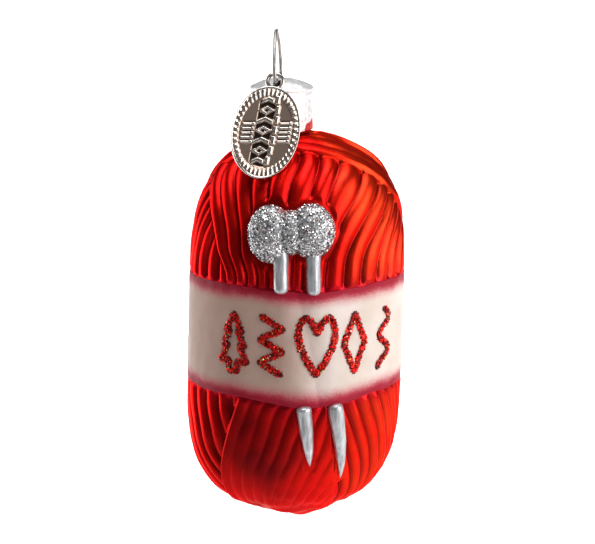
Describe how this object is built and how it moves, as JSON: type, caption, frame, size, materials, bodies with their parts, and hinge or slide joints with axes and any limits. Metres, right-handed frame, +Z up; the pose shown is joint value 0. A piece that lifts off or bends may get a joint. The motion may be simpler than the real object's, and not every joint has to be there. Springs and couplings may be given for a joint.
{
  "type": "glass christmas ornament",
  "caption": "Blown-glass hanging ornament shaped as a skein of yarn with a label band and knitting needles, with a metal cap, a wire loop hanger and an oval metal tag.",
  "frame": {"origin": "hang point: the inner top of the wire loop, where a hook touches it", "axes": "+Z up along the hanging direction, -Y out of the front with the needles, +X to the right seen from the front"},
  "size_m": [0.0546, 0.0541, 0.123],
  "materials": {
    "spring_wire": "bright drawn spring wire",
    "cap_metal": "bright stamped and crinkled sheet",
    "tag_nickel": "polished antique nickel plating over a casting",
    "lacquered_glass": "satin translucent red lacquer over silvered blown glass",
    "label_enamel": "matt cream enamel with airbrushed maroon edges",
    "needle_silver": "satin silver enamel",
    "silver_glitter": "silver glitter flakes in clear glue",
    "red_glitter": "red glitter flakes in clear glue"
  },
  "bodies": {
    "hanger": {"hanger_wire": "spring_wire"},
    "cap": {"ornament_cap": "cap_metal"},
    "tag": {"oval_tag": "tag_nickel"},
    "glass": {"glass_body": "lacquered_glass", "label_band": "label_enamel", "needle_shaft_left": "needle_silver", "needle_shaft_right": "needle_silver", "needle_tip_left": "needle_silver", "needle_tip_right": "needle_silver", "needle_knob_left": "silver_glitter", "needle_knob_right": "silver_glitter", "motif_tree": "red_glitter", "motif_zigzag": "red_glitter", "motif_heart": "red_glitter", "motif_diamond": "red_glitter", "motif_wave": "red_glitter"}
  },
  "joints": [
    {"name": "glass_pull", "type": "slide", "parent": "hanger", "child": "glass", "axis": [0, 0, -1], "range_m": [0, 0.024]},
    {"name": "cap_play", "type": "slide", "parent": "hanger", "child": "cap", "axis": [0, 0, 1], "range_m": [0, 0.0008]},
    {"name": "tag_swing", "type": "hinge", "parent": "hanger", "child": "tag", "pos_m": [-0.00021, -0.0086, -0.011], "axis": [-1, 0, 0], "range_deg": [0, 40]}
  ]
}
